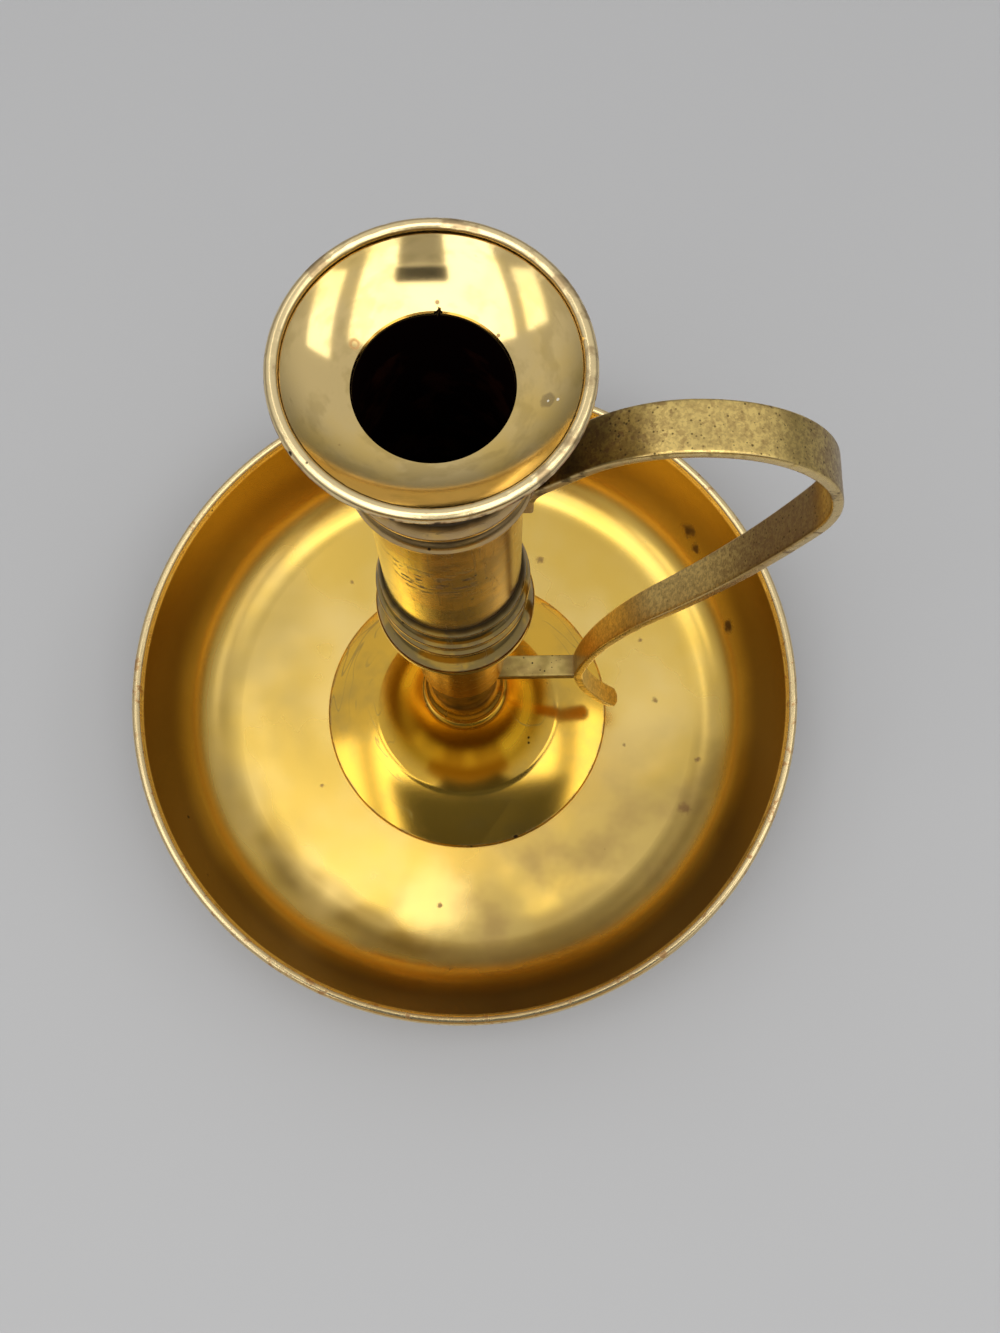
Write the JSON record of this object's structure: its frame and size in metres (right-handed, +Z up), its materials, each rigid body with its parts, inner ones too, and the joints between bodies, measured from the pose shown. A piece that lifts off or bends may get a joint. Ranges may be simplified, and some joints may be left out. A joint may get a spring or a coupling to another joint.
{
  "type": "chamberstick",
  "caption": "Brass chamberstick: a turned candle socket on a wide drip pan, with a flat strap handle that forms a finger loop.",
  "frame": {"origin": "on the stem's axis, at the level of the surface that the pan stands on", "axes": "+Z up along the stem; the handle lies towards +X, in the XZ plane"},
  "size_m": [0.1566, 0.1566, 0.1875],
  "materials": {
    "pan_brass": "polished, softly worn, with small dark spots",
    "foot_brass": "polished, softly worn",
    "dark_brass": "polished, with grey-brown tarnish",
    "tube_brass": "polished, with fine scratches and dark marks",
    "pale_brass": "polished, with a worn lip",
    "worn_brass": "satin, pitted and speckled brown",
    "steel": "dull"
  },
  "bodies": {
    "root": {"drip_pan": "pan_brass", "stem_foot": "foot_brass", "lower_stem": "dark_brass", "knop": "dark_brass", "ring_collar": "dark_brass", "socket_tube": "tube_brass", "neck_collar": "dark_brass", "nozzle": "pale_brass", "handle_strap": "worn_brass", "handle_stay": "worn_brass", "tie_rod": "steel", "base_washer": "steel", "base_nut": "steel"}
  },
  "joints": []
}
